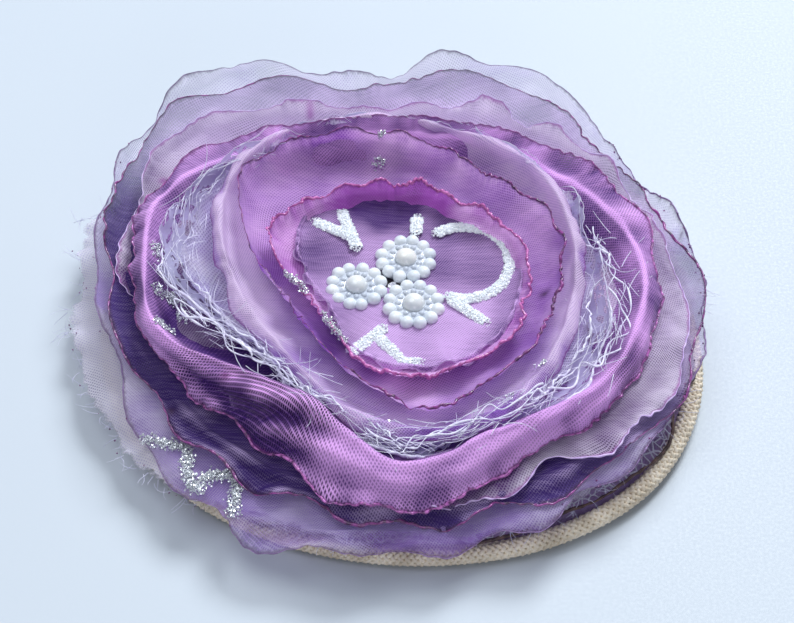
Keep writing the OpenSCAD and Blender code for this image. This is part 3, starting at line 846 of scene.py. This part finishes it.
# round braid: strands that wind both ways round a core, over one and under the next
braid_r = stations("48.2 47.5*9 47.3 46.8 46 45.8 46.8 49 50.8 50.2")
braid_z = stations("1.6 1.5*14 1.6 1.8 1.9")
TURNS, STRANDS, STEPS = 46, 6, 26
CORE_R, WOUND_R, STRAND_R = 0.92, 1.0, 0.36
t = around(TURNS * STEPS)
parts = [tube(round_axis(braid_r(t), t, braid_z(t))[::4], CORE_R, 12)]
for way in (1, -1):
    for k in range(STRANDS):
        turn = way * TURNS * t + 2 * math.pi * k / STRANDS
        out = WOUND_R + way * 0.2 * np.cos(STRANDS * TURNS * t)
        path = round_axis(braid_r(t) + out * np.cos(turn) * 1.08, t, braid_z(t) + out * np.sin(turn))
        parts.append(tube(path, STRAND_R, 5))
braid_knit = solid("braid_knit", (214, 199, 176), (247, 234, 213), 300, 0.8, bump=0.7, grain=2600)
o = put("braid_trim_knit", parts, braid_knit)
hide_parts("braid_trim")

# burnt crumbs left on the cloth when its edges were singed: petal, how many, and between which degrees
r = rng(77)
crumbs = []
for name, count, first, last in (
    ("tulle_frill", 60, 120, 260),
    ("outer_petal_low", 70, 300, 400),
    ("outer_petal_low", 16, 100, 280),
    ("outer_petal_mid", 40, 290, 380),
    ("outer_petal_mid", 14, 100, 250),
    ("fold_petal", 60, 190, 400),
    ("inner_petal_inner", 30, 180, 330),
):
    pick = (r.uniform(first, last, count) % 360 / 360 * ANGLES).astype(int)
    inward = np.clip(r.exponential(2.5, count).astype(int) + 1, 1, 12)
    crumbs.append(CLOTH[name][-inward, pick] + r.normal(size=(count, 3)) * 0.1)
put("singed_crumbs", [grains(np.concatenate(crumbs), 0.3, 78)], LOOKS["singed_plum"], smooth=False)

# ---------------- glitter

glitter = solid("glitter", (232, 238, 246), (255, 255, 255), 3000, 0.3, bump=0.9, grain=2500, coat=0.4)
silver = solid(
    "silver_glitter", (196, 200, 206), (250, 250, 252), 3000, 0.25, metallic=0.6, bump=0.5, grain=2500)
glue = solid("glitter_glue", (232, 238, 246), (246, 248, 252), 2500, 0.35, bump=0.9, grain=2500)
FLOOR_Z = 14.6
# half the width of a glitter line, and the height of its flakes, in millimetres
LINE_HALF, LINE_HIGH = 1.1, 0.42
heart = np.array([-0.8, -1.8, 0])
lines = []
for start, end in (
    ((127, 9.6), (118, 18.0)),
    ((124, 12.5), (133, 18.5)),
    ((70, 11.5), (74, 15.0)),
    ((262, 10.0), (247, 16.0)),
    ((258, 11.5), (276, 17.0)),
    ((338, 10.4), (330, 17.0)),
):
    lines.append([heart + polar(*start, FLOOR_Z), heart + polar(*end, FLOOR_Z)])
loop_mid = np.array([10.8, 2.6, FLOOR_Z])
bend = np.radians(np.arange(-110, 126, 6))
lines.append([loop_mid + np.array([7.6 * math.cos(a), 7.9 * math.sin(a), 0]) for a in bend])
lines.append([heart + polar(276, 17.0, FLOOR_Z), heart + polar(284, 17.5, FLOOR_Z + 0.2)])
strips, flakes = [], []
r = rng(21)
for line in lines:
    path = along_line(line, 0.5)
    path = path + r.normal(size=path.shape) * [0.08, 0.08, 0]
    flat_tube = tube(path, 1.0 + 0.08 * r.normal(size=len(path)), 10, closed=False)
    flat_tube[0][:, 2] = path[0, 2] - 0.1 + 0.45 * (flat_tube[0][:, 2] - path[0, 2])
    strips.append(flat_tube)
    dense = np.repeat(along_line(line, 0.1), 9, 0)
    a = r.uniform(0, 2 * math.pi, len(dense))
    d = np.sqrt(r.uniform(0, 1, len(dense)))
    flakes.append(dense + round_axis(LINE_HALF * d, a, LINE_HIGH * (1 - d * d)))
scroll = put("glitter_scroll_lines", strips, glue)
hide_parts("glitter_scroll")
put("glitter_scroll_flakes", [grains(np.concatenate(flakes), 0.3, 22)], glitter, smooth=False)


def dab(petal_name, marks, seed, per):
    """Centres for glitter scattered on a petal at (angle, radius, size) marks; per says how densely."""
    r = rng(seed)
    points = CLOTH[petal_name].reshape(-1, 3)
    out = []
    for angle, at, size in marks:
        d = np.linalg.norm(points[:, :2] - polar(angle, at)[:2], axis=1)
        close = points[d < size]
        if len(close):
            n = int(per * size * size)
            out.append(close[r.integers(0, len(close), n)] + r.normal(size=(n, 3)) * 0.18 + [0, 0, 0.25])
    return np.concatenate(out)


spread = [dab(*marks) for marks in (
    ("fold_petal", ((174, 38.5, 1.6), (179, 37.5, 1.3), (186, 38, 1.4), (198, 38.5, 1.6), (186, 35.5, 1.8),
                    (178, 36.5, 1.4), (192, 34.5, 1.5)), 31, 45),
    ("inner_petal_inner", ((186, 17.8, 1.3), (192, 16.8, 1.5), (199, 16, 1.2), (224, 15.4, 1.3),
                           (231, 15.6, 1.6), (238, 16.2, 1.3)), 37, 70),
    ("inner_petal_outer", ((97, 25.5, 1.0), (95, 29, 1.0), (40, 19.5, 0.8)), 32, 45),
    ("middle_petal", ((304, 31, 0.9), (318, 30, 0.9), (268, 31, 0.6)), 33, 40),
)]
put("glitter_dabs", [grains(np.concatenate(spread), 0.4, 34)], silver, smooth=False)
low_petal = CLOTH["outer_petal_low"]
zigzag = [surface_at(low_petal, a, q) + [0, 0, 0.3] for a, q in (
    (216, 48.5), (223, 44.5), (228, 48), (231, 49), (231, 45.5), (236, 43.5), (238, 46.5), (240, 49.5))]
dense = np.repeat(along_line(zigzag, 0.14), 6, 0)
r = rng(35)
dense = dense + r.normal(size=dense.shape) * [0.55, 0.55, 0.25]
put("glitter_zigzag", [grains(dense, 0.45, 36)], silver, smooth=False)

# ---------------- pearl flowers

pearl = solid("pearl", (216, 222, 230), (236, 237, 240), 300, 0.35, coat=0.4)
pearl_cream = solid("pearl_cream", (214, 218, 222), (240, 237, 230), 300, 0.25, coat=0.6)
dish = solid("pearl_dish", (180, 186, 200), (196, 200, 210), 300, 0.35, coat=0.3)


def lathe(profile, at, sides=40):
    """Points and faces of a profile of (radius, height) turned round an upright axis at a point."""
    profile = np.asarray(profile, float)
    points = round_axis(profile[:, :1], around(sides), profile[:, 1:]).reshape(-1, 3)
    return points + at, grid_faces(len(profile), sides)


def ball(at, radius, squash=1.0, sides=16):
    up = np.linspace(-math.pi / 2, math.pi / 2, sides // 2 + 1)
    profile = np.stack([np.maximum(np.cos(up), 0.004) * radius, np.sin(up) * radius * squash], -1)
    return lathe(profile, at, sides)


# each pearl flower: a ring of seed pearls round a dished seat with a ring of small beads, and a dome
SEEDS = 12
SEED_RING, SEED_R = 3.98, 1.13
BEAD_RING, BEAD_R = 2.5, 0.56
SEAT = [(4.2, 0.0), (4.1, 0.5), (3.3, 1.2), (2.7, 1.42), (2.2, 1.3), (1.5, 1.05), (0.01, 1.0)]
DOME = [(1.8 * math.cos(u), 1.15 + 1.6 * math.sin(u)) for u in np.radians(np.arange(-20, 90, 7))]
DOME.append((0.01, 2.75))
r = rng(61)
for side in ("left", "top", "front"):
    low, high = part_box("pearl_base_" + side)
    mid = (low + high) / 2 * 1000
    at = np.array([mid.x, mid.y, low.z * 1000])
    seeds, beads = [], []
    for k in range(SEEDS):
        angle = 360 / SEEDS * k
        place = polar(angle + 15 + r.normal() * 1.5, SEED_RING + r.normal() * 0.05, 0.92)
        seeds.append(ball(at + place, SEED_R + r.normal() * 0.03, 0.92))
        beads.append(ball(at + polar(angle, BEAD_RING, 1.2), BEAD_R, 0.8, 12))
    o = put("seed_pearls_%s_shown" % side, seeds, pearl)
    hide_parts("seed_pearls_" + side)
    o = put("pearl_base_%s_shown" % side, [lathe(SEAT, at)] + beads, dish)
    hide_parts("pearl_base_" + side)
    o = put("centre_pearl_%s_shown" % side, [lathe(DOME, at)], pearl_cream)
    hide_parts("centre_pearl_" + side)

# ---------------- felt, buckram, thread and spring

felt = solid("felt", (150, 122, 168), (172, 146, 190), 700, 0.95, bump=0.9, grain=3500, sheen=0.4)
buckram = solid("buckram", (226, 224, 218), (238, 236, 232), 700, 0.85, bump=0.6)
thread_white = solid("thread", (224, 222, 232), (240, 238, 246), 900, 0.6, bump=0.5)
NEEDLE = 0.85


def slab(name, rim_r, under, thick, material, rows=40, sides=180):
    """A closed disc of cloth, thick above under(radius), with the needle hole at the heart."""
    a = around(sides)
    share = np.linspace(0, 1, rows)[:, None]
    edge = rim_r(a) if callable(rim_r) else rim_r + 0 * a
    radius = NEEDLE + (edge - NEEDLE) * share
    off = np.clip(1 - radius / 15, 0, 1)[..., None] * heart[:2]
    flat = round_axis(radius, a, 0)[..., :2] + off
    level = np.concatenate([flat, 0 * flat[..., :1]], -1).reshape(-1, 3)
    z = under(radius) + 0.05 * ripples(level, 6.0, 71).reshape(radius.shape)
    inset = np.clip((edge - radius) / (0.4 * thick), 0, 1)
    low = np.concatenate([flat, (z + thick * 0.3 * (1 - inset))[..., None]], -1)
    high = np.concatenate([flat, (z + thick * (1 - 0.3 * (1 - inset)))[..., None]], -1)
    points = np.concatenate([low, high[::-1]])
    o = mesh(name, points.reshape(-1, 3), grid_faces(2 * rows + 1, sides) % (2 * rows * sides), material)
    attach(o, "flower")
    return o, 2 * float(edge.mean()) * MM


def droop(r):
    return -7.9 * np.clip((r - 29.5) / 16.5, 0, 1) ** 1.8


o, width = slab("felt_backing_cloth", lambda a: braid_r(a) - 1.55, lambda r: 9.0 + droop(r), 0.8, felt)
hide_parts("felt_backing")
o, width = slab("base_disc_cloth", 29.4, lambda r: 9.88 + 0 * r, 0.26, buckram)
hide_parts("base_disc")

# felt bridge: sewn to the backing on both sides of the arm, and under it
low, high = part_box("felt_patch")
half = [(7.0, 8.72), (6.3, 8.72), (5.6, 8.72), (5.1, 8.6), (4.87, 8.3), (4.62, 8.05), (4.1, 7.99),
        (2.0, 7.99), (0, 7.99)]
HALF_THICK = 0.23
across = np.array([(-y, z) for y, z in half] + half[-2::-1])
across = spline(across[:, None, :], np.linspace(0, len(across) - 1, 90))[:, 0]
lean = np.gradient(across, axis=0)
lean = HALF_THICK * unit(np.stack([-lean[:, 1], lean[:, 0]], -1))
loop = np.concatenate([across - lean, (across + lean)[::-1]])
xs = np.linspace(low.x * 1000, high.x * 1000, 60)
points = np.array([[(x, y, z) for y, z in loop] for x in xs])
side_n = len(across)
caps = []
for first in (0, (len(xs) - 1) * 2 * side_n):
    final = first + 2 * side_n - 1
    caps += [[first + i, first + i + 1, final - 1 - i, final - i] for i in range(side_n - 1)]
faces = np.concatenate([grid_faces(len(xs), 2 * side_n), np.array(caps)])
o = mesh("felt_patch_cloth", points.reshape(-1, 3), faces, felt)
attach(o, "flower")
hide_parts("felt_patch")
# whip stitches over the long edges of the patch: each goes through these (x, y, z)
STITCH = ((0, 5.75, 8.42), (0.25, 6.4, 8.36), (0.5, 7.05, 8.5), (0.65, 7.5, 8.86))
stitches = []
for side in (-1, 1):
    for start in np.arange(xs[0] + 1.2, xs[-1] - 0.6, 2.3):
        stitches.append(tube([(start + x, side * y, z) for x, y, z in STITCH], 0.13, 6, closed=False))
stitch = put("felt_stitches", stitches, thread_white)

# needle thread through the layers, knotted on top of them
PLIES = 5
low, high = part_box("sewing_thread")
climb = np.linspace(0, 1, 40)
rise = low.z * 1000 + 0.02 + climb * (high.z - low.z) * 940
parts = []
for k in range(PLIES):
    turn = 2 * math.pi * (k / PLIES + 1.5 * climb)
    parts.append(tube(heart + round_axis(0.42, turn, rise), 0.2, 6, closed=False))
turn = around(40)
for k in range(4):
    ring = np.stack([0.55 * np.cos(turn), 0.55 * np.sin(turn + 0.8 * k), 0.16 * np.sin(2 * turn + k)], -1)
    parts.append(tube(ring + heart + [0, 0, high.z * 1000 - 0.35], 0.17, 6))
o = put("sewing_thread_strands", parts, thread_white)
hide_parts("sewing_thread")

# spring wire: a leg on the lever, four and a half turns round the pin, a leg under the arm
HINGE_X, HINGE_Z, COIL_R, LEG_X = -10.5, 5.15, 1.25, -19.5
HALF_COIL = 1.5
WIRE_R = 0.25
turn = np.radians(np.linspace(-90, 1530, 217))
along_pin = np.linspace(-HALF_COIL, HALF_COIL, len(turn))
coil = np.stack([HINGE_X + COIL_R * np.cos(turn), along_pin, HINGE_Z + COIL_R * np.sin(turn)], -1)
lower = np.linspace([LEG_X, -HALF_COIL, 1.544], coil[0], 20, endpoint=False)
upper = np.linspace([LEG_X, HALF_COIL, 8.0], coil[-1], 20, endpoint=False)[::-1]
wire = np.concatenate([lower, coil, upper])
spring_steel = solid("spring_steel", (150, 152, 158), (176, 178, 182), 500, 0.25, metallic=1.0, bump=0.1)
parts = [tube(wire, WIRE_R, 12, closed=False)] + [ball(end, WIRE_R, sides=12) for end in (wire[0], wire[-1])]
o = put("torsion_spring_wire", parts, spring_steel, body=None)
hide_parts("torsion_spring")
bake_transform(o)

# ---------------- carried-over nodes

steel = solid("brushed_steel", (176, 178, 184), (196, 198, 202), 300, 0.32, metallic=1.0, bump=0.15,
              grain=5000, stretch=(0.05, 1, 1))
for o in NODES.values():
    if not o.hide_render:
        o.data.materials.clear()
        o.data.materials.append(steel)

# names of material slots, each with what the names of its pieces start with; the loop below does nothing with
# them
for slot, names in {
    "clip_steel": "clip_top_arm clip_jaw hinge_pin",
    "spring_steel": "torsion_spring",
    "felt": "felt_backing felt_patch",
    "buckram": "base_disc",
    "net": "net_underlay",
    "braid": "braid_trim",
    "tulle": "tulle_frill",
    "organza_pale": "outer_petal_low",
    "organza_deep": "outer_petal_mid",
    "organza_lilac": "outer_petal_high middle_petal centre_petal",
    "organza_mauve": "fold_petal inner_petal_outer",
    "organza_pink": "inner_petal_inner",
    "lace": "lace",
    "glitter": "glitter",
    "pearl_white": "seed_pearls centre_pearl",
    "pearl_seat": "pearl_base",
    "thread": "sewing_thread felt_stitches",
}.items():
    for name in names.split():
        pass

# ---------------- floor

table = solid("table", (191, 198, 207), (195, 202, 210), 3, 0.6)
corners = [(-900, -700, 0), (900, -700, 0), (900, 1500, 0), (-900, 1500, 0)]
floor = mesh("floor", corners, [[0, 1, 2, 3]], table)
